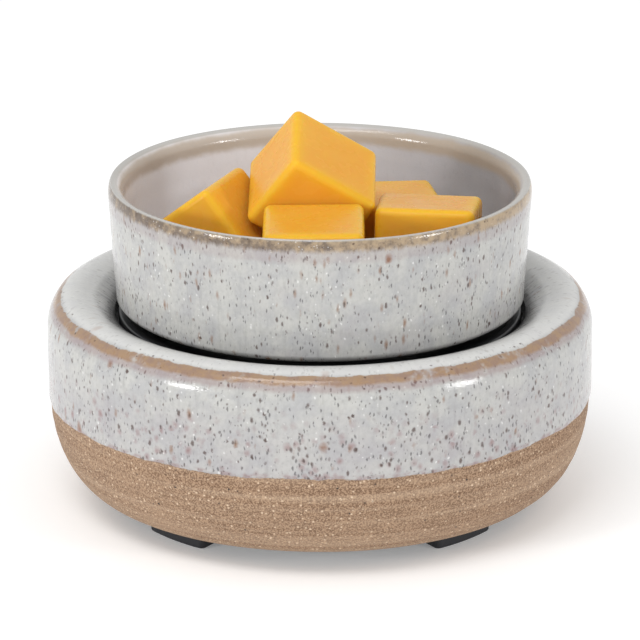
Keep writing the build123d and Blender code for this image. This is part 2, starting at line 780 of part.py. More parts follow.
# ------------------------------------------------------------------ dish
dish_base_radius = dish_radius - dish_draft
dish_foot_radius = dish_base_radius - dish_corner_width - dish_foot_inset
dish_bore_radius = dish_radius - dish_wall
dish_floor_radius = dish_base_radius - dish_wall + dish_draft / 2
lip_half = dish_wall / 2
lip_centre = (dish_radius - lip_half, dish_rim_z - dish_lip_height)
inner_round_centre = (dish_floor_radius - dish_inner_round, dish_floor_z + dish_inner_round)

with BuildPart() as melting_dish:
    with BuildSketch(Plane.XZ):
        with BuildLine():
            Polyline(
                (0, dish_floor_z),
                (0, dish_under_z),
                (dish_foot_radius - dish_foot_width, dish_under_z),
                (dish_foot_radius - dish_foot_width, dish_z),
                (dish_foot_radius, dish_z),
                (dish_foot_radius, dish_under_z),
                (dish_base_radius - dish_corner_width, dish_under_z),
            )
            EllipticalCenterArc(
                (dish_base_radius - dish_corner_width, dish_under_z + dish_corner_height),
                dish_corner_width,
                dish_corner_height,
                270,
                arc_size=90,
            )
            Line(
                (dish_base_radius, dish_under_z + dish_corner_height),
                (dish_radius, dish_rim_z - dish_lip_height),
            )
            EllipticalCenterArc(lip_centre, lip_half, dish_lip_height, 0, arc_size=90)
            EllipticalCenterArc(lip_centre, lip_half, dish_lip_height, 90, arc_size=90)
            Line(
                (dish_bore_radius, dish_rim_z - dish_lip_height),
                (dish_floor_radius, dish_floor_z + dish_inner_round),
            )
            CenterArc(inner_round_centre, dish_inner_round, 0, -90)
            Line((dish_floor_radius - dish_inner_round, dish_floor_z), (0, dish_floor_z))
        make_face()
    revolve(axis=Axis.Z)
save(melting_dish.part, "melting_dish")

# ------------------------------------------------------------------ wax melts
wax_side = (dish_bore_radius - wax_gap) / pile_reach_ratio
wax_height = wax_side * wax_height_share
wax_round = wax_side * wax_round_share
wax_draft = degrees(atan(wax_taper_share / 2 / wax_height_share))


def wax_seat(across, back, up, turns):
    """Place of a melt in the pile: its centre in melt sides from the middle of the dish's floor."""
    floor_centre = Vector(0, 0, dish_floor_z)
    return Location(floor_centre + Vector(across, back, up) * wax_side, turns)


wax_seats = {
    "wax_melt_top": wax_seat(-0.065, -0.365, 1.128, (18.7, 33.1, -1.3)),
    "wax_melt_front": wax_seat(-0.057, -1.321, 0.679, (2.6, -0.7, -0.3)),
    "wax_melt_right_front": wax_seat(1.024, -0.659, 0.560, (82.8, -6.1, -1.1)),
    "wax_melt_right_back": wax_seat(0.691, 0.333, 0.439, (-0.2, 1.3, 9.6)),
    "wax_melt_left": wax_seat(-1.037, -0.359, 0.618, (-15.9, -35.1, -26.3)),
}

for wax_name, seat in wax_seats.items():
    with BuildPart() as wax_melt:
        with BuildSketch(Plane(seat).offset(-wax_height / 2)):
            RectangleRounded(wax_side, wax_side, wax_round)
        extrude(amount=wax_height, taper=wax_draft)
        end_faces = wax_melt.faces().filter_by(Plane(seat))
        fillet(end_faces.edges(), wax_round)
    save(wax_melt.part, wax_name)
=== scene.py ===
"""Looks of the electric warmer for scented wax melts: speckled reactive glaze over bare clay, a black
hot plate, a loose glazed dish and translucent wax melts, on a pale floor in soft studio light."""
import math

import bmesh
import bpy
import numpy as np
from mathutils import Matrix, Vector


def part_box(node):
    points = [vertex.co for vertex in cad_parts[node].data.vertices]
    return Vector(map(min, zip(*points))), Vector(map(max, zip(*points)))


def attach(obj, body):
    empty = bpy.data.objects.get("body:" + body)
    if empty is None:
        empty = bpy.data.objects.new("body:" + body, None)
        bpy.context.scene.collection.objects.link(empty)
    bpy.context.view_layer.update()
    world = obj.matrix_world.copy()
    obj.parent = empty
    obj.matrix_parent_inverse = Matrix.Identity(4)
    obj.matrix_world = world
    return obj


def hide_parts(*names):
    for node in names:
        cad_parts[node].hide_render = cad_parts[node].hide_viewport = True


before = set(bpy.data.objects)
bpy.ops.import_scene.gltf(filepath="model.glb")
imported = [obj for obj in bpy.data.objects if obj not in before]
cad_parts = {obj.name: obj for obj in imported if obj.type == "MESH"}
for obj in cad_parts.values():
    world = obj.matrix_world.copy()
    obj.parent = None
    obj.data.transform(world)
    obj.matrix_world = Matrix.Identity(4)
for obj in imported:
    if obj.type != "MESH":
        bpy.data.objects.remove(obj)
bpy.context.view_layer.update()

MM = 0.001

# ------------------------------------------------------------------ sizes of the base, in metres
base_low, base_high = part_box("ceramic_base")
dish_low, dish_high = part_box("melting_dish")
cover_low, cover_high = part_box("bottom_cover")
plate_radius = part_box("hot_plate")[1].x

base_radius = base_high.x
ring_z = base_low.z
crest_z = base_high.z
ring_outer = 56.5 * MM
belly_height = 25.8 * MM
belly_pull_down = 17.2 * MM
belly_pull_out = 5.5 * MM
shoulder_width = 7.2 * MM
shoulder_rise = 8.6 * MM
roll_drop = 5.2 * MM
roll_crest_pull = 3.8 * MM
roll_edge_pull_out = 1.6 * MM
roll_edge_pull_up = 1.95 * MM
shelf_depth = 10.75 * MM
shelf_thick = 4.5 * MM
shelf_width = 6.7 * MM
ceiling_round = 6.5 * MM
base_wall = 5.5 * MM
floor_wall = 3.2 * MM
plate_gap = 0.9 * MM
well_radius = plate_radius + plate_gap
shelf_inner = well_radius - shelf_width
cover_gap = 0.5 * MM
cover_thick = 2.6 * MM
ledge_width = 3.7 * MM

entry_height = 24.0 * MM
entry_seat_depth = 3.2 * MM
entry_seat_radius = 8.6 * MM
entry_hole_radius = 5.2 * MM
entry_neck = 4.4 * MM
entry_lock_radius = 6.2 * MM
entry_lock_depth = 2.1 * MM
entry_clearance = 4.4 * MM        # how far the entry's cutter ends outside the wall
bare_clay = -5 * MM               # glaze height of the cut faces, far below the glaze's edge

glaze_line_z = 28.55 * MM         # mean height of the glaze's lower edge
glaze_step = 0.32 * MM            # thickness of the glaze over the bare clay
glaze_edge_soft = 0.07 * MM
glaze_wave_reach = 9 * MM         # how far from its edge the glaze's waves die out
break_ring_z = 53.3 * MM          # where the glaze runs thin over the shoulder
break_ridge = 0.10 * MM
break_ridge_width = 0.9 * MM
bead_height = 0.05 * MM           # swelling just above the glaze's edge
bead_rise = 0.8 * MM
bead_width = 0.7 * MM
throwing_height = 0.05 * MM
throwing_pitch = 0.62 * MM        # one radian of the throwing lines' wave
throwing_under_glaze = 0.25       # share of their height that shows through the glaze
base_sink = 0.17 * MM             # keeps the uneven surface inside the CAD solid's outline

# ------------------------------------------------------------------ sizes of the dish
dish_radius = dish_high.x
dish_draft = 1.7 * MM
dish_wall = 4.1 * MM
dish_floor = 4.15 * MM
dish_foot_height = 2.35 * MM
dish_foot_width = 4.0 * MM
dish_foot_round = 0.7 * MM
dish_corner_width = 9.6 * MM
dish_corner_out = 6.8 * MM        # the glaze fills the corner that the clay leaves
dish_corner_height = 3.0 * MM
dish_foot_inset = 1.0 * MM
dish_foot_radius = dish_radius - dish_draft - dish_corner_width - dish_foot_inset
dish_inner_round = 8.0 * MM
dish_lip_height = 3.4 * MM
dish_lip_out = 0.9 * MM           # the lip's crest lies near its outer side
dish_lip_wear = 0.80 * MM
dish_band_inside = 4.5 * MM       # from the lip's crest to the tan band inside
dish_turning_height = 0.03 * MM
dish_turning_pitch = 0.9 * MM     # one radian of the turning lines' wave
dish_fade_height = 4 * MM         # the unevenness sets in over this height above the foot
dish_sink = 0.15 * MM             # keeps the uneven surface inside the CAD solid's outline

# ------------------------------------------------------------------ sizes of the wax melts
wax_round = 1.9 * MM              # rounding of the block's edges
wax_sink = 0.12 * MM              # a cooled face lies a little hollow
wax_edge_reach = 4.0 * MM         # how far in from an edge the painted glow of light through the wax reaches
wax_core = 0.86                   # share of a face that is flat
wax_same_face = math.radians(0.4)  # between the triangles of one flat face
WAX_FLAT_ROWS = 17
WAX_EDGE_ROWS = 6


# ------------------------------------------------------------------ node graphs
class Graph:
    """One material and short calls that add its nodes. The scales of noise are per metre."""

    def __init__(self, name):
        self.material = bpy.data.materials.new(name)
        self.material.use_nodes = True
        self.tree = self.material.node_tree
        self.tree.nodes.clear()
        self.output = self.node("ShaderNodeOutputMaterial")
        self.shader = self.node("ShaderNodeBsdfPrincipled")
        self.join(self.shader.outputs[0], self.output.inputs["Surface"])

    def node(self, kind, **settings):
        made = self.tree.nodes.new(kind)
        for key, value in settings.items():
            setattr(made, key, value)
        return made

    def join(self, value, socket):
        """A socket is linked, and a plain number or colour is set."""
        if isinstance(value, bpy.types.NodeSocket):
            self.tree.links.new(value, socket)
        elif isinstance(value, (tuple, list)) and len(socket.default_value) == 4:
            socket.default_value = (*value, 1.0)
        else:
            socket.default_value = value

    def set(self, **values):
        """Links or sets inputs of the shader; an underscore stands for a space in a name."""
        for key, value in values.items():
            self.join(value, self.shader.inputs[key.replace("_", " ")])

    def attribute(self, name, output="Vector"):
        """What keep() stored on the mesh under this name."""
        return self.node("ShaderNodeAttribute", attribute_name=name).outputs[output]

    def place(self):
        """Coordinates in the piece's own frame, in metres."""
        return self.node("ShaderNodeTexCoord").outputs["Object"]

    def coordinate(self, vector, axis):
        split = self.node("ShaderNodeSeparateXYZ")
        self.join(vector, split.inputs[0])
        return split.outputs[axis]

    def stretch(self, vector, factors):
        made = self.node("ShaderNodeVectorMath", operation="MULTIPLY")
        self.join(vector, made.inputs[0])
        self.join(factors, made.inputs[1])
        return made.outputs[0]

    def drawn(self, vector, share):
        """The vector with its height scaled, which draws marks out along the glaze's flow."""
        return self.stretch(vector, (1.0, 1.0, share))

    def shake(self, vector, scale, reach):
        """The vector, moved about by up to reach."""
        noise = self.node("ShaderNodeTexNoise")
        self.join(vector, noise.inputs["Vector"])
        noise.inputs["Scale"].default_value = scale
        centred = self.node("ShaderNodeVectorMath", operation="SUBTRACT")
        self.join(noise.outputs["Color"], centred.inputs[0])
        centred.inputs[1].default_value = (0.5, 0.5, 0.5)
        added = self.node("ShaderNodeVectorMath", operation="MULTIPLY_ADD")
        self.join(centred.outputs[0], added.inputs[0])
        added.inputs[1].default_value = (2 * reach,) * 3
        self.join(vector, added.inputs[2])
        return added.outputs[0]

    def maths(self, operation, first, second=0.0, clamp=False):
        made = self.node("ShaderNodeMath", operation=operation, use_clamp=clamp)
        self.join(first, made.inputs[0])
        self.join(second, made.inputs[1])
        return made.outputs[0]

    def times(self, first, second):
        return self.maths("MULTIPLY", first, second)

    def plus(self, first, second):
        return self.maths("ADD", first, second)

    def noise(self, vector, scale, detail=2.0, rough=0.5):
        made = self.node("ShaderNodeTexNoise")
        self.join(vector, made.inputs["Vector"])
        made.inputs["Scale"].default_value = scale
        made.inputs["Detail"].default_value = detail
        made.inputs["Roughness"].default_value = rough
        return made.outputs["Fac"]

    def wobble(self, noise, reach):
        """The noise as a shift to both sides, reach from end to end."""
        return self.times(self.maths("SUBTRACT", noise, 0.5), reach)

    def ramp(self, value, start, end, low=0.0, high=1.0):
        """Smooth step of value from start to end, as a number from low to high."""
        made = self.node("ShaderNodeMapRange", interpolation_type="SMOOTHSTEP")
        self.join(value, made.inputs["Value"])
        made.inputs["From Min"].default_value = start
        made.inputs["From Max"].default_value = end
        made.inputs["To Min"].default_value = low
        made.inputs["To Max"].default_value = high
        return made.outputs[0]

    def band(self, value, centre, half, edge):
        """One within half of the centre, fading to nothing over the edge."""
        away = self.maths("ABSOLUTE", self.maths("SUBTRACT", value, centre))
        return self.ramp(away, half + edge, half)

    def mix(self, factor, first, second):
        """Colour between two others."""
        made = self.node("ShaderNodeMix", data_type="RGBA")
        self.join(factor, made.inputs["Factor"])
        self.join(first, made.inputs[6])
        self.join(second, made.inputs[7])
        return made.outputs[2]

    def between(self, factor, first, second):
        """Number between two others."""
        made = self.node("ShaderNodeMix", data_type="FLOAT")
        self.join(factor, made.inputs["Factor"])
        self.join(first, made.inputs[2])
        self.join(second, made.inputs[3])
        return made.outputs[0]

    def paint(self, colour, mask, strength, tone):
        """The colour with the tone laid over it where the mask is one, at this strength."""
        return self.mix(self.times(mask, strength), colour, tone)

    def specks(self, vector, cell, share, radius, edge=0.5):
        """Mask of scattered spots, one or none to a cell: share of the cells have one. The radius
        is the largest spot's, in cells, and the edge is the soft part of it."""
        cells = self.node("ShaderNodeTexVoronoi", feature="F1")
        self.join(vector, cells.inputs["Vector"])
        cells.inputs["Scale"].default_value = 1.0 / cell
        chance = self.node("ShaderNodeSeparateColor")
        self.join(cells.outputs["Color"], chance.inputs[0])
        shown = self.maths("LESS_THAN", chance.outputs[0], share)
        size = self.plus(self.times(chance.outputs[1], 0.7), 0.3)
        inside = self.maths("SUBTRACT", self.times(size, radius), cells.outputs["Distance"])
        soft = self.maths("DIVIDE", inside, radius * edge, clamp=True)
        return self.times(soft, shown)

    def bump(self, height, distance=1.0):
        """Normal of a relief. The height is in metres, or in shares of the distance."""
        made = self.node("ShaderNodeBump")
        made.inputs["Distance"].default_value = distance
        self.join(height, made.inputs["Height"])
        return made.outputs[0]


# ------------------------------------------------------------------ finishes of the ceramics
WARM_WHITE = (0.500, 0.497, 0.474)
COOL_GREY = (0.418, 0.418, 0.420)
LAVENDER = (0.375, 0.348, 0.366)
SHADOW_GREY = (0.150, 0.145, 0.138)
SPARKLE_WHITE = (0.780, 0.780, 0.770)
CREST_PAINTED_LIGHT = (0.740, 0.740, 0.725)
ROSE = (0.250, 0.138, 0.135)
SOFT_BROWN = (0.230, 0.118, 0.060)
DARK_BROWN = (0.070, 0.038, 0.030)
INK = (0.024, 0.022, 0.024)
RUST = (0.215, 0.085, 0.030)
BREAK_TAN = (0.330, 0.205, 0.108)
BREAK_PINK = (0.275, 0.170, 0.115)
WELL_SHADE = (0.030, 0.029, 0.028)
RIM_BROWN = (0.112, 0.075, 0.048)
RIM_GOLD = (0.400, 0.290, 0.170)
LIP_GREY = (0.470, 0.455, 0.425)
INNER_LIT_GREY = (0.800, 0.785, 0.805)
INNER_SHADED_GREY = (0.350, 0.350, 0.370)
INNER_LILAC = (0.640, 0.610, 0.640)
INNER_TAN = (0.420, 0.330, 0.225)
CLAY = (0.390, 0.255, 0.160)
CLAY_LIGHT = (0.760, 0.585, 0.420)
CLAY_DARK = (0.165, 0.092, 0.052)

BASE_ROUGH = 0.15
DISH_ROUGH = 0.14
MARK_ROUGH = 0.08                 # added where iron specks lie in the glaze
CLAY_ROUGH = 0.86
GLAZE_RELIEF = 0.10 * MM
CLAY_RELIEF = 0.16 * MM


def speckled_glaze(g, flow, spots, low_zone):
    """Colour of the reactive glaze, and a mask of its marks: pale clouds, and iron specks of several
    sizes that have run a little. Spots is the share of soft brown spots, and low_zone is a mask
    where thick glaze is rosy."""
    tall = g.drawn(g.shake(flow, 900.0, 0.28 * MM), 0.34)
    short = g.drawn(g.shake(flow, 700.0, 0.42 * MM), 0.62)
    clouds = g.ramp(g.noise(g.drawn(flow, 0.8), 190.0, 4.0, 0.6), 0.36, 0.68)
    colour = g.mix(clouds, WARM_WHITE, COOL_GREY)
    patches = g.ramp(g.noise(flow, 95.0, 3.0, 0.6), 0.50, 0.74, 0.0, 0.35)
    colour = g.mix(g.plus(patches, g.times(low_zone, 0.25)), colour, LAVENDER)
    runs = g.ramp(g.noise(g.drawn(flow, 0.10), 1000.0, 3.0, 0.6), 0.52, 0.76, 0.0, 0.16)
    colour = g.mix(runs, colour, SHADOW_GREY)
    mottle = g.ramp(g.noise(g.drawn(flow, 0.55), 1300.0, 3.0, 0.6), 0.40, 0.68, 0.0, 0.13)
    colour = g.mix(mottle, colour, SHADOW_GREY)
    halos = g.specks(short, 1.7 * MM, 0.70, 0.60, 0.9)
    colour = g.paint(colour, g.times(halos, low_zone), 0.85, ROSE)
    grey = g.specks(short, 1.15 * MM, 0.50, 0.40, 0.9)
    colour = g.paint(colour, grey, 0.36, SHADOW_GREY)
    soft = g.specks(tall, 1.7 * MM, spots, 0.38, 0.8)
    colour = g.paint(colour, soft, 0.82, SOFT_BROWN)
    # the fine dark specks lie in clusters
    clusters = g.ramp(g.noise(flow, 130.0), 0.38, 0.62, 0.28, 0.74)
    clusters = g.plus(clusters, g.times(low_zone, 0.30))
    fine = g.specks(tall, 0.62 * MM, clusters, 0.45)
    colour = g.paint(colour, fine, 0.62, INK)
    brown = g.specks(g.drawn(tall, 1.4), 1.25 * MM, clusters, 0.38)
    colour = g.paint(colour, brown, 0.80, DARK_BROWN)
    middle = g.specks(short, 2.1 * MM, 0.42, 0.24)
    colour = g.paint(colour, middle, 0.88, DARK_BROWN)
    large = g.specks(short, 6.5 * MM, 0.40, 0.20, 0.6)
    colour = g.paint(colour, large, 0.9, RUST)
    # painted highlights: small white flecks stand in for sparkles of light on the glaze
    painted_sparkles = g.specks(short, 1.1 * MM, 0.50, 0.28, 0.6)
    colour = g.paint(colour, painted_sparkles, 0.65, SPARKLE_WHITE)
    return colour, g.plus(g.plus(fine, middle), large)


def glaze_relief(g, flow):
    """Height of the glaze's own relief: slow waves, orange peel, fine ripple and small craters."""
    slow = g.noise(g.drawn(flow, 0.5), 120.0)
    peel = g.noise(flow, 480.0)
    ripple = g.noise(flow, 1700.0, 2.0, 0.6)
    craters = g.specks(flow, 1.3 * MM, 0.30, 0.25, 1.0)
    height = g.plus(g.plus(slow, g.times(peel, 0.42)), g.times(ripple, 0.50))
    return g.times(g.maths("SUBTRACT", height, g.times(craters, 0.28)), GLAZE_RELIEF)


def glaze_border(g, colour, flow, above):
    """Rosy blush and dark specks along the glaze's lower edge."""
    blush = g.ramp(g.noise(flow, 420.0, 3.0, 0.6), 0.42, 0.62, 0.0, 0.5)
    colour = g.mix(g.times(g.band(above, 0.3 * MM, 0.3 * MM, 0.9 * MM), blush), colour, ROSE)
    specks = g.specks(g.shake(flow, 700.0, 0.3 * MM), 1.1 * MM, 0.55, 0.34)
    near = g.band(above, 0.2 * MM, 0.7 * MM, 0.6 * MM)
    return g.paint(colour, g.times(specks, near), 0.85, DARK_BROWN)


def break_ring(g, colour, flow, level, break_level):
    """The tan ring where the glaze runs thin over the shoulder: crisp above, a rosy blur below,
    and broken here and there."""
    around = g.plus(level, g.wobble(g.noise(flow, 110.0, 4.0, 0.7), 3.2 * MM))
    gaps = g.ramp(g.noise(g.drawn(flow, 0.8), 240.0, 3.0, 0.6), 0.30, 0.46, 0.25, 1.0)
    halo = g.times(g.band(around, break_level - 1.2 * MM, 1.2 * MM, 1.6 * MM), gaps)
    colour = g.paint(colour, halo, 0.42, ROSE)
    top_edge = g.ramp(around, break_level + 1.45 * MM, break_level + 1.05 * MM)
    low_edge = g.ramp(around, break_level - 2.0 * MM, break_level - 0.9 * MM)
    core = g.times(g.times(top_edge, low_edge), gaps)
    tan = g.mix(g.ramp(g.noise(flow, 420.0, 4.0, 0.68), 0.38, 0.64), BREAK_TAN, BREAK_PINK)
    colour = g.paint(colour, core, 0.88, tan)
    specks = g.specks(g.shake(flow, 800.0, 0.3 * MM), 1.3 * MM, 0.45, 0.34)
    near = g.band(level, break_level, 2.4 * MM, 1.0 * MM)
    return g.paint(colour, g.times(specks, near), 0.8, DARK_BROWN)


def drag_lines_and_well_shade(g, colour, flow, level, well_level):
    """Dark drag lines down the rolled inner rim, thickest at the edge of the well, and painted shade that
    darkens the rim towards the well, where the dish shades it.
    """
    streaks = g.noise(g.drawn(flow, 0.06), 1300.0, 3.0, 0.6)
    roll = g.ramp(level, well_level - 9.0 * MM, well_level - 2.0 * MM)
    drags = g.specks(g.drawn(flow, 0.20), 0.8 * MM, 0.5, 0.36, 0.7)
    drags = g.maths("ADD", drags, g.ramp(streaks, 0.48, 0.74, 0.0, 0.6), clamp=True)
    colour = g.paint(colour, g.times(drags, roll), 0.62, INK)
    # painted shade: the rim is painted darker near the well, as the shade under the dish falls there
    reach = g.plus(level, g.wobble(streaks, 3.0 * MM))
    shade = g.ramp(reach, well_level - 6.2 * MM, well_level + 0.6 * MM, 0.0, 0.88)
    return g.mix(shade, colour, WELL_SHADE)


def sandy_clay(g):
    """Colour and relief of the bare clay: light and dark grains, pits painted near black as the shade in
    their hollows, and faint throwing lines.
    """
    place = g.place()
    grain = g.noise(place, 2300.0, 2.0, 0.6)
    clay = g.mix(g.ramp(grain, 0.40, 0.60), CLAY_DARK, CLAY)
    dark_grains = g.specks(place, 0.85 * MM, 0.50, 0.40, 0.6)
    clay = g.paint(clay, dark_grains, 0.75, CLAY_DARK)
    # drawn a little, so that the cells of the light grains aren't those of the dark ones
    light_grains = g.specks(g.drawn(place, 1.02), 0.95 * MM, 0.60, 0.44, 0.6)
    clay = g.paint(clay, light_grains, 0.85, CLAY_LIGHT)
    drift = g.ramp(g.noise(place, 60.0, 3.0, 0.6), 0.40, 0.72, 0.0, 0.22)
    clay = g.mix(drift, clay, CLAY)
    bands = g.noise(g.stretch(place, (6.0, 6.0, 520.0)), 1.0, 3.0, 0.6)
    clay = g.mix(g.ramp(bands, 0.35, 0.7, 0.0, 0.22), clay, CLAY_LIGHT)
    # painted shade: the pits are hollows in the relief, painted near black as the shade inside them
    pits = g.specks(place, 2.1 * MM, 0.45, 0.19)
    clay = g.paint(clay, pits, 0.92, INK)
    lines = g.noise(g.stretch(place, (40.0, 40.0, 900.0)), 1.0, 3.0, 0.6)
    height = g.maths("SUBTRACT", g.plus(grain, g.times(lines, 0.5)), pits)
    return clay, g.times(height, CLAY_RELIEF)


def stoneware_material(break_level, well_level, glaze_rise):
    """Base: glaze above its line, a tan ring where it breaks over the shoulder, sandy clay below.
    Levels are lengths along the outline; the rise is from the glaze's edge to the ring."""
    g = Graph("speckled_glaze_and_bare_clay")
    flow = g.attribute("flow")
    above = g.attribute("glaze", "Fac")
    level = g.coordinate(flow, "Z")
    low_zone = g.ramp(above, glaze_rise * 0.80, glaze_rise * 0.25)
    colour, marks = speckled_glaze(g, flow, 0.30, low_zone)
    # painted light: the roll's crest is painted whiter, as where it catches the light
    crest = g.band(level, break_level + 6.0 * MM, 3.0 * MM, 3.0 * MM)
    colour = g.mix(g.ramp(crest, 0.0, 1.0, 0.0, 0.60), colour, CREST_PAINTED_LIGHT)
    colour = glaze_border(g, colour, flow, above)
    colour = break_ring(g, colour, flow, level, break_level)
    colour = drag_lines_and_well_shade(g, colour, flow, level, well_level)

    clay, clay_relief = sandy_clay(g)
    ragged = g.wobble(g.noise(flow, 800.0, 3.0, 0.7), 1.5 * MM)
    glazed = g.ramp(g.plus(above, ragged), -0.14 * MM, 0.14 * MM)
    relief = g.between(glazed, clay_relief, glaze_relief(g, flow))
    rough = g.plus(g.ramp(glazed, 0.0, 1.0, CLAY_ROUGH, BASE_ROUGH), g.times(marks, MARK_ROUGH))
    g.set(Base_Color=g.mix(glazed, clay, colour), Roughness=rough, Normal=g.bump(relief))
    return g.material


def rim_band(g, colour, flow, level, lip_level, sideways):
    """The band under the dish's lip: brown mottled with gold, ragged below, with drips."""
    drips = g.noise(g.drawn(flow, 0.25), 620.0, 4.0, 0.7)
    around = g.plus(level, g.wobble(drips, 2.6 * MM))
    halo = g.band(around, lip_level - 3.8 * MM, 1.6 * MM, 1.6 * MM)
    colour = g.paint(colour, halo, 0.22, ROSE)
    low_edge = g.ramp(around, lip_level - 4.1 * MM, lip_level - 2.4 * MM)
    top_edge = g.ramp(level, lip_level - 0.1 * MM, lip_level - 0.9 * MM)
    band = g.times(low_edge, top_edge)
    # there is more gold towards the right
    golden = g.plus(g.noise(flow, 420.0, 4.0, 0.65), g.times(sideways, 2.2))
    rim = g.mix(g.ramp(golden, 0.32, 0.68), RIM_BROWN, RIM_GOLD)
    # painted highlights: white glints on the band
    glints = g.specks(g.shake(flow, 900.0, 0.2 * MM), 0.8 * MM, 0.35, 0.34, 0.7)
    rim = g.paint(rim, glints, 0.6, SPARKLE_WHITE)
    colour = g.paint(colour, band, 0.88, rim)
    specks = g.specks(g.shake(flow, 800.0, 0.2 * MM), 1.2 * MM, 0.46, 0.34)
    return g.paint(colour, g.times(specks, band), 0.85, DARK_BROWN)


def dish_material(lip_level, inner_level):
    """Dish: the same glaze, a mottled brown band under a pale lip, and a soft tan band inside."""
    g = Graph("speckled_glaze_dish")
    flow = g.attribute("flow")
    level = g.coordinate(flow, "Z")
    sideways = g.coordinate(g.place(), "X")
    colour, marks = speckled_glaze(g, flow, 0.62, 0.0)
    # painted light and shade: the inside is painted lighter at the left and darker towards the right, as if
    # lit from one side
    plain = g.mix(g.ramp(sideways, -20.0 * MM, 45.0 * MM), INNER_LIT_GREY, INNER_SHADED_GREY)
    plain = g.mix(g.ramp(g.noise(flow, 70.0), 0.35, 0.7, 0.0, 0.18), plain, INNER_LILAC)
    inside = g.ramp(level, lip_level, lip_level + 1.2 * MM)
    colour = g.paint(colour, inside, 0.93, plain)
    colour = rim_band(g, colour, flow, level, lip_level, sideways)
    lip = g.band(level, lip_level + 0.7 * MM, 0.7 * MM, 0.7 * MM)
    colour = g.paint(colour, lip, 0.9, LIP_GREY)
    around = g.plus(level, g.wobble(g.noise(flow, 130.0, 3.0, 0.6), 2.4 * MM))
    colour = g.paint(colour, g.band(around, inner_level, 1.3 * MM, 2.2 * MM), 0.7, INNER_TAN)
    rough = g.plus(DISH_ROUGH, g.times(marks, MARK_ROUGH))
    g.set(Base_Color=colour, Roughness=rough, Normal=g.bump(glaze_relief(g, flow)))
    return g.material


# ------------------------------------------------------------------ other finishes
WAX_AMBER = (0.770, 0.360, 0.036)
WAX_PEACH = (0.790, 0.400, 0.048)
WAX_EDGE_GLOW = (0.790, 0.470, 0.022)
WAX_SCATTER = (1.0, 0.42, 0.10)


def wax_material():
    """Translucent wax: peach in the middle of a face, and along its edges a painted glow, clearer and more
    golden, where light would shine through the thinner wax.
    """
    g = Graph("golden_wax")
    place = g.place()
    clouds = g.ramp(g.noise(place, 45.0), 0.35, 0.7)
    colour = g.mix(clouds, WAX_AMBER, WAX_PEACH)
    # painted light: a clearer, more golden glow along the edges, where light shines through the thinner wax
    colour = g.paint(colour, g.attribute("edge", "Fac"), 0.85, WAX_EDGE_GLOW)
    rough = g.ramp(g.noise(place, 200.0), 0.3, 0.7, 0.22, 0.32)
    g.set(Base_Color=colour, Roughness=rough, Normal=g.bump(g.noise(place, 110.0, 1.0), 0.10 * MM))
    g.set(IOR=1.28, Subsurface_Weight=0.35, Subsurface_Radius=WAX_SCATTER, Subsurface_Scale=5.0 * MM)
    return g.material


def grained(name, colour, rough, metallic=0.0, tint=0.25, cell=0.35, depth=0.02, stretch=(1.0, 1.0, 1.0)):
    """A moulded, sheet or turned finish: grain in colour, roughness and relief. Tint is how much
    darker the grain's low parts are; its cell and depth are in millimetres."""
    g = Graph(name)
    grain = g.noise(g.stretch(g.place(), stretch), 1.0 / (cell * MM), 3.0, 0.6)
    drift = g.noise(g.place(), 55.0)
    dark = tuple(c * (1.0 - tint) for c in colour)
    light = tuple(min(1.0, c * 1.25 + 0.01) for c in colour)
    shade = g.mix(g.ramp(grain, 0.35, 0.68), dark, colour)
    shade = g.mix(g.ramp(drift, 0.4, 0.7, 0.0, 0.3), shade, light)
    roughness = g.ramp(grain, 0.3, 0.7, rough * 0.85, min(1.0, rough * 1.15))
    g.set(Base_Color=shade, Roughness=roughness, Normal=g.bump(grain, depth * MM), Metallic=metallic)
    return g.material


finishes = {
    "black_coating": grained("coated_plate", (0.030, 0.031, 0.033), 0.36, tint=0.35, cell=0.22, depth=0.012),
    "silicone": grained("silicone_ring", (0.10, 0.10, 0.11), 0.6, tint=0.2, cell=0.5),
    "mica": grained("pressed_mica", (0.50, 0.43, 0.30), 0.45, tint=0.4, cell=1.4, depth=0.03,
                    stretch=(1.0, 1.0, 4.0)),
    "element_foil": grained("etched_foil", (0.52, 0.50, 0.47), 0.34, metallic=1.0, tint=0.2, cell=0.4),
    "fibre": grained("fibre_felt", (0.78, 0.76, 0.71), 0.95, cell=0.5, depth=0.12, stretch=(1.0, 1.0, 3.0)),
    "plated_steel": grained("zinc_plated_steel", (0.56, 0.57, 0.58), 0.3, metallic=1.0, tint=0.18, cell=0.8),
    "fuse_metal": grained("bright_can", (0.72, 0.72, 0.71), 0.25, metallic=1.0, tint=0.12, cell=0.6),
    "bright_aluminium": grained("mill_aluminium", (0.74, 0.75, 0.76), 0.33, metallic=1.0, tint=0.15,
                                cell=0.5, depth=0.01, stretch=(1.0, 12.0, 1.0)),
    "brass": grained("turned_brass", (0.72, 0.52, 0.24), 0.3, metallic=1.0, tint=0.2, cell=0.3, depth=0.01,
                     stretch=(1.0, 6.0, 1.0)),
    "black_plastic": grained("moulded_plastic", (0.028, 0.029, 0.032), 0.55, tint=0.3, cell=0.3, depth=0.03),
    "black_rubber": grained("rubber", (0.020, 0.021, 0.026), 0.6, tint=0.3),
    "steatite": grained("steatite", (0.76, 0.73, 0.67), 0.5, tint=0.12, cell=0.4, depth=0.03),
    "wire_sleeve": grained("wire_sleeve", (0.70, 0.67, 0.60), 0.55, tint=0.2, cell=0.3,
                           stretch=(1.0, 1.0, 5.0)),
}


# ------------------------------------------------------------------ meshes
def linked(name, data):
    """New object of the scene with this mesh, light or camera."""
    made = bpy.data.objects.new(name, data)
    bpy.context.scene.collection.objects.link(made)
    return made


def smooth(piece, angle=40.0):
    piece.data.polygons.foreach_set("use_smooth", [True] * len(piece.data.polygons))
    piece.data.set_sharp_from_angle(angle=math.radians(angle))
    piece.data.update()


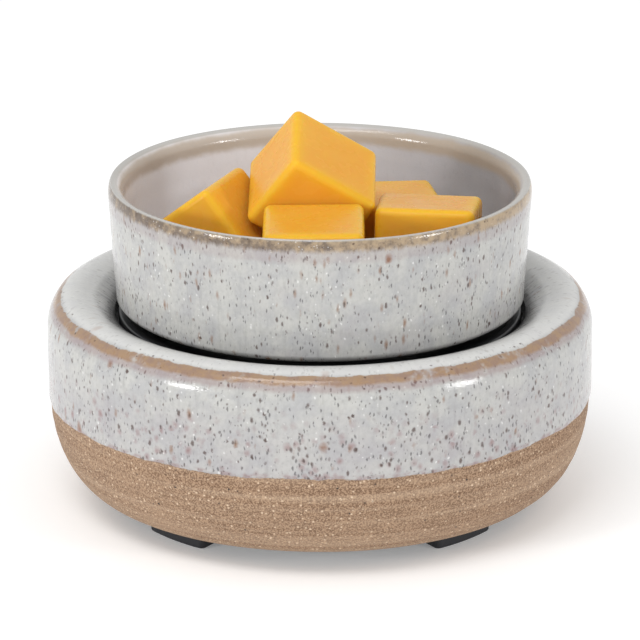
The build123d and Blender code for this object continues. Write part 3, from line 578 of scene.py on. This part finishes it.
def keep(piece, name, values):
    """Stores one number or vector for each vertex, for the finish to read."""
    kind, field = ("FLOAT_VECTOR", "vector") if values.ndim == 2 else ("FLOAT", "value")
    made = piece.data.attributes.new(name, kind, "POINT")
    made.data.foreach_set(field, values.astype(np.float32).ravel())


def straight(start, end, count):
    """Points from start towards end, without the end."""
    return [(start[0] + (end[0] - start[0]) * i / count, start[1] + (end[1] - start[1]) * i / count)
            for i in range(count)]


def elliptic(centre, width, height, start, sweep, count):
    """Points on an elliptic arc, without its end; angles in degrees."""
    turns = [math.radians(start + sweep * i / count) for i in range(count)]
    return [(centre[0] + width * math.cos(a), centre[1] + height * math.sin(a)) for a in turns]


def bezier(points, count):
    """Points on a cubic curve, without its end."""
    made = []
    for i in range(count):
        t = i / count
        weights = ((1 - t) ** 3, 3 * t * (1 - t) ** 2, 3 * t * t * (1 - t), t ** 3)
        made.append(tuple(sum(w * p[k] for w, p in zip(weights, points)) for k in (0, 1)))
    return made


def lengths_along(points):
    """Distance along the outline at each of its points."""
    steps = np.hypot(*np.diff(np.array(points), axis=0).T)
    return np.concatenate([[0.0], np.cumsum(steps)])


def unit(vectors):
    return vectors / np.maximum(np.hypot(*vectors.T), 1e-9)[:, None]


def outward(points, closed):
    """Unit normals of an outline that runs with the solid on its left."""
    p = np.array(points)
    ahead = np.roll(p, -1, axis=0) - p
    behind = p - np.roll(p, 1, axis=0)
    if not closed:
        ahead[-1] = behind[-1]
        behind[0] = ahead[0]
    along = unit(ahead) + unit(behind)
    return unit(np.stack([along[:, 1], -along[:, 0]], axis=1))


def waves(theta, parts):
    """Sum of sines round the pot: each part is a count of waves, a height and a phase."""
    return sum(height * np.sin(count * theta + phase) for count, height, phase in parts)


def bell(away, width):
    """Bell curve of a distance: one at nothing, dying out over a few widths."""
    return math.exp(-(away / width) ** 2)


def revolved(name, points, closed, segments, shape):
    """Mesh of an outline turned round the axis. shape(theta, r, z, along, normal) gives each row's
    radius and height, and the distance along the outline that is kept for the finish. The second
    result has theta, the outline's radius and that distance for each vertex."""
    theta = np.linspace(0.0, 2 * math.pi, segments, endpoint=False)
    verts, flows, rows = [], [], []
    for (r, z), along, normal in zip(points, lengths_along(points), outward(points, closed)):
        if r < 1e-6:
            # a point on the axis is one vertex
            rows.append([len(verts)] * segments)
            verts.append((0.0, 0.0, z))
            flows.append((0.0, 0.0, along))
            continue
        radius, height, at = shape(theta, r, z, along, normal)
        first = len(verts)
        rows.append(list(range(first, first + segments)))
        verts += list(zip(radius * np.cos(theta), radius * np.sin(theta), height))
        flows += list(zip(theta, np.full(segments, r), at))
    above = rows[1:] + rows[:1] if closed else rows[1:]
    faces = []
    for low, high in zip(rows, above):
        for i in range(segments):
            j = (i + 1) % segments
            corners = [low[i], low[j], high[j], high[i]]
            face = [c for k, c in enumerate(corners) if c != corners[k - 1]]
            if len(face) >= 3:
                faces.append(face)
    mesh = bpy.data.meshes.new(name)
    mesh.from_pydata([tuple(map(float, v)) for v in verts], [], faces)
    mesh.validate()
    return linked(name, mesh), np.array(flows, float)


def flow_vectors(theta, radius, at):
    """Coordinates for the glaze: round the pot at this radius, and along the outline."""
    return np.stack([radius * np.cos(theta), radius * np.sin(theta), at], axis=1)


# ------------------------------------------------------------------ ceramic base
SEGMENTS = 320
ENTRY_SEGMENTS = 72
# rows of the base's outline, by its stretches
RING_ROWS = 2
BELLY_ROWS = 96
WALL_ROWS = 44
SHOULDER_ROWS = 40
ROLL_ROWS = 36
WELL_ROWS = 6
glaze_waves = ((1, 0.45 * MM, 1.571), (3, 0.22 * MM, 2.1), (7, 0.16 * MM, 0.3),
               (13, 0.13 * MM, 4.0), (29, 0.10 * MM, 1.0), (47, 0.08 * MM, 2.7))
# the glaze's edge has rows close together, so that its step is crisp
glaze_rows = np.array([-0.5, -0.32, -0.2, -0.1, 0.0, 0.1, 0.22, 0.4, 0.7]) * MM
glaze_rows_reach = 0.75 * MM


def base_profile():
    """Closed outline of the shell, from the foot ring up the outside and back down the inside. Each
    stretch ends with its count of rows, which is high only where the surface shows."""
    belly_z = ring_z + belly_height
    shoulder_z = crest_z - shoulder_rise
    crest_r = base_radius - shoulder_width
    edge_z = crest_z - roll_drop
    shelf_z = crest_z - shelf_depth
    ceiling_z = shelf_z - shelf_thick
    cavity_r = base_radius - base_wall
    corner_r = cavity_r - ceiling_round
    recess_r = cover_high.x + cover_gap
    ledge_z = cover_low.z + cover_thick
    opening_r = recess_r - ledge_width
    floor_z = ledge_z + floor_wall
    inner_r = ring_outer - base_wall / 2
    outside = straight((recess_r, ring_z), (ring_outer, ring_z), RING_ROWS)
    outside += bezier(((ring_outer, ring_z), (ring_outer + belly_pull_out, ring_z),
                       (base_radius, belly_z - belly_pull_down), (base_radius, belly_z)), BELLY_ROWS)
    outside += straight((base_radius, belly_z), (base_radius, shoulder_z), WALL_ROWS)
    outside += elliptic((crest_r, shoulder_z), shoulder_width, shoulder_rise, 0, 90, SHOULDER_ROWS)
    outside += bezier(((crest_r, crest_z), (crest_r - roll_crest_pull, crest_z),
                       (well_radius + roll_edge_pull_out, edge_z + roll_edge_pull_up),
                       (well_radius, edge_z)), ROLL_ROWS)
    outside += straight((well_radius, edge_z), (well_radius, shelf_z), WELL_ROWS)
    inside = straight((well_radius, shelf_z), (shelf_inner, shelf_z), 4)
    inside += straight((shelf_inner, shelf_z), (shelf_inner, ceiling_z), 3)
    inside += straight((shelf_inner, ceiling_z), (corner_r, ceiling_z), 5)
    inside += elliptic((corner_r, ceiling_z - ceiling_round), ceiling_round, ceiling_round, 90, -90, 8)
    inside += straight((cavity_r, ceiling_z - ceiling_round), (cavity_r, belly_z), 3)
    inside += bezier(((cavity_r, belly_z), (cavity_r, belly_z - belly_pull_down + floor_wall),
                      (inner_r + belly_pull_out, floor_z), (inner_r, floor_z)), 14)
    inside += [(inner_r, floor_z), (opening_r, floor_z), (opening_r, ledge_z), (recess_r, ledge_z)]
    return outside, inside


def glaze_line(theta):
    """How far the glaze's edge lies below its mean height, round the pot."""
    return waves(theta, glaze_waves)


def build_base():
    """The shell with its wavy glaze edge and throwing lines, and the lengths along its outline of
    the glaze's edge, the thin ring and the edge of the well."""
    outside, inside = base_profile()
    t = lengths_along(outside + inside)
    p = np.array(outside + inside)
    wall_end = RING_ROWS + BELLY_ROWS + WALL_ROWS
    lower = slice(RING_ROWS, wall_end)
    shoulder = slice(wall_end, wall_end + SHOULDER_ROWS)
    line_t = float(np.interp(glaze_line_z, p[lower, 1], t[lower]))
    ring_t = float(np.interp(break_ring_z, p[shoulder, 1], t[shoulder]))
    well_t = float(t[len(outside) - WELL_ROWS])
    outside_end = t[len(outside)]

    far_rows = t[np.abs(t - line_t) > glaze_rows_reach]
    row_t = np.sort(np.concatenate([far_rows, line_t + glaze_rows]))
    row_points = list(zip(np.interp(row_t, t, p[:, 0]), np.interp(row_t, t, p[:, 1])))

    def shape(theta, r, z, along, normal):
        at = along + glaze_line(theta) * bell(along - line_t, glaze_wave_reach)
        if along >= outside_end:
            return np.full(theta.shape, r), np.full(theta.shape, z), at
        above = along - line_t
        bare = 1 - 1 / (1 + math.exp(-above / glaze_edge_soft))
        bead = bead_height * bell(above - bead_rise, bead_width)
        ridge = break_ridge * bell(along - ring_t, break_ridge_width)
        # slow unevenness, whose phases drift along the outline
        slow = waves(theta, ((2, 0.05 * MM, 1.0), (5, 0.04 * MM, along * 220), (9, 0.02 * MM, along * 400)))
        throwing = throwing_height * math.sin(along / throwing_pitch) * np.cos(theta * 2 + along * 90)
        throwing *= 1 if above < 0 else throwing_under_glaze
        push = bead + ridge + slow + throwing - glaze_step * bare - base_sink
        radius = np.interp(at, t, p[:, 0]) + normal[0] * push
        height = np.interp(at, t, p[:, 1]) + normal[1] * push
        return radius, height, at

    piece, flows = revolved("stoneware_base", row_points, True, SEGMENTS, shape)
    theta, at = flows[:, 0], flows[:, 2]
    keep(piece, "flow", flow_vectors(theta, plate_radius, at))
    keep(piece, "glaze", at - line_t - glaze_line(theta))
    return piece, line_t, ring_t, well_t


def cut_cord_entry(piece):
    """Cuts the flat seat, the hole and the inner recess of the cord grommet out of the back wall."""
    face = base_radius - entry_seat_depth
    neck_end = face - entry_neck
    lock_end = neck_end - entry_lock_depth
    clear = base_radius + entry_clearance
    steps = ((0.0, lock_end), (entry_lock_radius, lock_end), (entry_lock_radius, neck_end),
             (entry_hole_radius, neck_end), (entry_hole_radius, face), (entry_seat_radius, face),
             (entry_seat_radius, clear), (0.0, clear))

    def shape(theta, r, z, along, normal):
        return tuple(np.full(theta.shape, value) for value in (r, z, along))

    cutter, flows = revolved("cord_entry_cutter", steps, False, ENTRY_SEGMENTS, shape)
    # the cutter was turned about the upright axis, and is laid down to point backwards
    for vertex in cutter.data.vertices:
        x, y, z = vertex.co
        vertex.co = (x, z, entry_height - y)
    keep(cutter, "flow", np.zeros((len(flows), 3)))
    keep(cutter, "glaze", np.full(len(flows), bare_clay))
    cut = piece.modifiers.new("cord_entry", "BOOLEAN")
    cut.operation = "DIFFERENCE"
    cut.solver = "EXACT"
    cut.object = cutter
    bpy.context.view_layer.update()
    ready = piece.evaluated_get(bpy.context.evaluated_depsgraph_get())
    mesh = bpy.data.meshes.new_from_object(ready)
    piece.modifiers.clear()
    piece.data = mesh
    bpy.data.objects.remove(cutter)


base_piece, line_t, ring_t, well_t = build_base()
base_piece.data.materials.append(stoneware_material(ring_t, well_t, ring_t - line_t))
cut_cord_entry(base_piece)
smooth(base_piece)
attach(base_piece, "warmer_base")
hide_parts("ceramic_base")


# ------------------------------------------------------------------ melting dish
def dish_profile():
    """Open outline of the dish, from its axis under the floor, up the outside and back inside. Each
    stretch ends with its count of rows."""
    low = dish_low.z
    under = low + dish_foot_height
    corner_z = under + dish_corner_height
    floor_z = under + dish_floor
    rim_z = dish_high.z - dish_lip_wear
    lip_z = rim_z - dish_lip_height
    lip_r = dish_radius - dish_lip_out
    bottom_r = dish_radius - dish_draft
    bore_r = dish_radius - dish_wall
    floor_r = bottom_r - dish_wall + dish_draft / 2
    corner_r = floor_r - dish_inner_round
    foot_in = dish_foot_radius - dish_foot_width
    soft = dish_foot_round
    outside = [(0.0, under)]
    outside += straight((foot_in / 2, under), (foot_in, under), 3)
    outside += straight((foot_in, under), (foot_in, low + soft), 2)
    outside += elliptic((foot_in + soft, low + soft), soft, soft, 180, 90, 4)
    outside += elliptic((dish_foot_radius - soft, low + soft), soft, soft, 270, 90, 4)
    outside += straight((dish_foot_radius, low + soft), (dish_foot_radius, under), 2)
    outside += elliptic((bottom_r - dish_corner_out, corner_z), dish_corner_out, dish_corner_height,
                        270, 90, 30)
    outside += straight((bottom_r, corner_z), (dish_radius, lip_z), 80)
    outside += elliptic((lip_r, lip_z), dish_lip_out, dish_lip_height, 0, 90, 22)
    inside = elliptic((lip_r, lip_z), dish_wall - dish_lip_out, dish_lip_height, 90, 90, 22)
    inside += straight((bore_r, lip_z), (floor_r, floor_z + dish_inner_round), 44)
    inside += elliptic((corner_r, floor_z + dish_inner_round), dish_inner_round, dish_inner_round,
                       0, -90, 20)
    inside += straight((corner_r, floor_z), (0.0, floor_z), 26)
    inside += [(0.0, floor_z)]
    return outside, inside


def build_dish():
    """The dish with its slight unevenness, and the length along its outline of the lip's crest."""
    outside, inside = dish_profile()
    points = outside + inside
    foot_top = dish_low.z + dish_foot_height

    def shape(theta, r, z, along, normal):
        fade = min(1.0, max(0.0, (z - foot_top) / dish_fade_height))
        slow = waves(theta, ((2, 0.05 * MM, 2.0), (3, 0.05 * MM, along * 150), (8, 0.025 * MM, along * 300)))
        turning = dish_turning_height * math.sin(along / dish_turning_pitch)
        push = (slow + turning - dish_sink) * fade
        return r + normal[0] * push, z + normal[1] * push, np.full(theta.shape, along)

    piece, flows = revolved("glazed_dish", points, False, SEGMENTS, shape)
    theta, radius, at = flows.T
    keep(piece, "flow", flow_vectors(theta, np.minimum(radius, dish_radius - dish_wall), at))
    return piece, lengths_along(points)[len(outside)]


dish_piece, lip_t = build_dish()
dish_piece.data.materials.append(dish_material(lip_t, lip_t + dish_band_inside))
smooth(dish_piece)
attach(dish_piece, "dish")
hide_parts("melting_dish")


# ------------------------------------------------------------------ wax melts
def block_faces(mesh):
    """The block's six flat faces as three opposite pairs of planes: a unit normal and its distance."""
    areas = np.array([polygon.area for polygon in mesh.polygons])
    normals = np.array([polygon.normal for polygon in mesh.polygons])
    centres = np.array([polygon.center for polygon in mesh.polygons])
    planes = []
    left = areas.copy()
    while len(planes) < 6:
        alike = normals @ normals[int(np.argmax(left))] > math.cos(wax_same_face)
        normal = areas[alike] @ normals[alike]
        normal /= np.linalg.norm(normal)
        distance = float(areas[alike] @ (centres[alike] @ normal) / areas[alike].sum())
        planes.append((normal, distance))
        left[alike] = 0.0
    pairs = []
    while planes:
        first = planes.pop(0)
        facing = [float(first[0] @ other[0]) for other in planes]
        pairs.append((first, planes.pop(int(np.argmin(facing)))))
    return pairs


def block_steps():
    """Rows of the block's mesh across a face, from -1 to 1: even on the flat, by angle on the edges."""
    flats = np.linspace(-wax_core, wax_core, WAX_FLAT_ROWS)
    turn = wax_core + (1 - wax_core) * np.tan(np.linspace(0, math.pi / 4, WAX_EDGE_ROWS))[1:]
    return np.concatenate([-turn[::-1], flats, turn])


def rounded_block(name, pairs):
    """Even mesh of the block between the planes, with rounded edges and slightly sunk faces. It is
    a cube from -1 to 1, laid between the planes: side 0 of each pair is at -1, side 1 at 1."""
    corners = {}
    for sides in np.ndindex(2, 2, 2):
        planes = [pairs[axis][side] for axis, side in enumerate(sides)]
        corners[sides] = np.linalg.solve([p[0] for p in planes], [p[1] - wax_round for p in planes])
    half = np.linalg.norm(corners[0, 0, 0] - corners[1, 0, 0]) / 2 + wax_round
    numbers, verts, edges, faces = {}, [], [], []

    def on_core(flat):
        """Place inside the block, a rounding's radius under its surface."""
        shares = (1 + flat / wax_core) / 2
        spot = np.zeros(3)
        for sides, corner in corners.items():
            spot += corner * np.prod([shares[k] if sides[k] else 1 - shares[k] for k in range(3)])
        return spot

    def vertex(place):
        """Number of the vertex at this place of the cube, which is made on the first call."""
        key = tuple(np.round(place, 6))
        if key not in numbers:
            numbers[key] = len(verts)
            flat = np.clip(place, -wax_core, wax_core)
            away = place - flat
            push = sum(abs(away[k]) * pairs[k][int(away[k] > 0)][0] for k in range(3))
            push /= np.linalg.norm(push)
            inmost, middle, _ = np.sort(np.abs(place))
            hollow = (1 - min(1.0, inmost / wax_core) ** 2) * (1 - min(1.0, middle / wax_core) ** 2)
            verts.append(tuple(on_core(flat) + push * (wax_round - wax_sink * hollow)))
            edges.append(max(0.0, 1 - (1 - middle) * half / wax_edge_reach) ** 1.5)
        return numbers[key]

    steps = block_steps()
    for axis in range(3):
        for side in (-1.0, 1.0):
            grid = [[vertex(np.roll((side, u, v), axis)) for v in steps] for u in steps]
            for row, following in zip(grid, grid[1:]):
                faces += [list(corner) for corner in zip(row, following, following[1:], row[1:])]
    mesh = bpy.data.meshes.new(name)
    mesh.from_pydata(verts, [], faces)
    made = bmesh.new()
    made.from_mesh(mesh)
    bmesh.ops.recalc_face_normals(made, faces=made.faces)
    made.to_mesh(mesh)
    made.free()
    piece = linked(name, mesh)
    keep(piece, "edge", np.array(edges))
    return piece


wax_finish = wax_material()
for wax_node in sorted(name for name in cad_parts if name.startswith("wax_melt_")):
    wax_piece = rounded_block("poured_" + wax_node, block_faces(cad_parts[wax_node].data))
    smooth(wax_piece, 80.0)
    wax_piece.data.materials.append(wax_finish)
    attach(wax_piece, "wax_melts")
    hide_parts(wax_node)

# ------------------------------------------------------------------ CAD pieces that keep their shape
nodes_of_finish = {
    "black_coating": ("hot_plate",),
    "silicone": ("plate_seal",),
    "mica": ("upper_mica_sheet", "lower_mica_sheet"),
    "element_foil": ("foil_element",),
    "fibre": ("insulation_pad",),
    "plated_steel": ("pressure_plate", "clamp_washer", "clamp_screw", "fuse_clip", "fuse_clip_screw",
                     "cover_screws", "terminal_screws", "block_screw"),
    "fuse_metal": ("thermal_fuse",),
    "bright_aluminium": ("heat_shield",),
    "brass": ("standoffs", "terminal_sleeves"),
    "black_plastic": ("bottom_cover",),
    "black_rubber": ("cord_grommet", *(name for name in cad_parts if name.startswith("foot_"))),
    "steatite": ("terminal_block",),
    "wire_sleeve": ("heater_lead", "fuse_lead", "link_lead"),
}
for finish, names in nodes_of_finish.items():
    for name in names:
        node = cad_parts[name]
        if not node.material_slots:
            node.data.materials.append(None)
        for material_slot in node.material_slots:
            material_slot.material = finishes[finish]

# ------------------------------------------------------------------ stage, light and camera
FLOOR_HALF = 4.0
FLOOR_GREY = (0.90, 0.90, 0.90)
FLOOR_WHITE = (0.93, 0.93, 0.93)
FLOOR_GLOW = 0.19                 # keeps the floor white far from the object

floor_corners = [(x * FLOOR_HALF, y * FLOOR_HALF, 0.0) for x, y in ((-1, -1), (1, -1), (1, 1), (-1, 1))]
floor_mesh = bpy.data.meshes.new("floor")
floor_mesh.from_pydata(floor_corners, [], [(0, 1, 2, 3)])
floor = linked("floor", floor_mesh)
floor_finish = Graph("pale_floor")
floor_tone = floor_finish.noise(floor_finish.place(), 3.0)
floor_finish.set(Base_Color=floor_finish.mix(floor_tone, FLOOR_GREY, FLOOR_WHITE), Roughness=0.9)
floor_finish.set(Specular_IOR_Level=0.0, Emission_Color=(1.0, 1.0, 1.0), Emission_Strength=FLOOR_GLOW)
floor.data.materials.append(floor_finish.material)


def direction(azimuth, elevation):
    """Unit vector from the object. Azimuth 0 is the front, and it turns towards the right."""
    a, e = math.radians(azimuth), math.radians(elevation)
    return Vector((math.sin(a) * math.cos(e), -math.cos(a) * math.cos(e), math.sin(e)))


def softbox(name, azimuth, elevation, distance, width, height, power):
    """Area light that faces the object, with its power in watts."""
    light = bpy.data.lights.new(name, "AREA")
    light.shape = "RECTANGLE"
    light.size = width
    light.size_y = height
    light.energy = power
    lamp = linked(name, light)
    back = direction(azimuth, elevation)
    lamp.location = Vector((0.0, 0.0, crest_z)) + back * distance
    lamp.rotation_mode = "QUATERNION"
    lamp.rotation_quaternion = (-back).to_track_quat("-Z", "Y")


softbox("key_left", -56, 12, 1.4, 0.24, 0.18, 5.2)
softbox("key_right", 60, 12, 1.4, 0.24, 0.18, 4.0)
softbox("top_left", -25, 58, 1.6, 0.9, 0.5, 7.5)

world = bpy.data.worlds.new("studio")
world.use_nodes = True
bpy.context.scene.world = world
sky = world.node_tree.nodes["Background"]
sky.inputs["Color"].default_value = (1.0, 1.0, 1.0, 1.0)
sky.inputs["Strength"].default_value = 0.72
bpy.context.scene.view_settings.view_transform = "Standard"

CAMERA_DISTANCE = 1.0512
CAMERA_ELEVATION = 18.30          # degrees above the table
CAMERA_TARGET = Vector((0.0, 0.0, 46.43 * MM))
camera_data = bpy.data.cameras.new("camera")
camera_data.lens = 230.0
camera_data.sensor_width = 36.0
camera = linked("camera", camera_data)
camera.location = CAMERA_TARGET + CAMERA_DISTANCE * direction(0.0, CAMERA_ELEVATION)
camera.rotation_euler = (math.radians(90.0 - CAMERA_ELEVATION), 0.0, 0.0)
bpy.context.scene.camera = camera
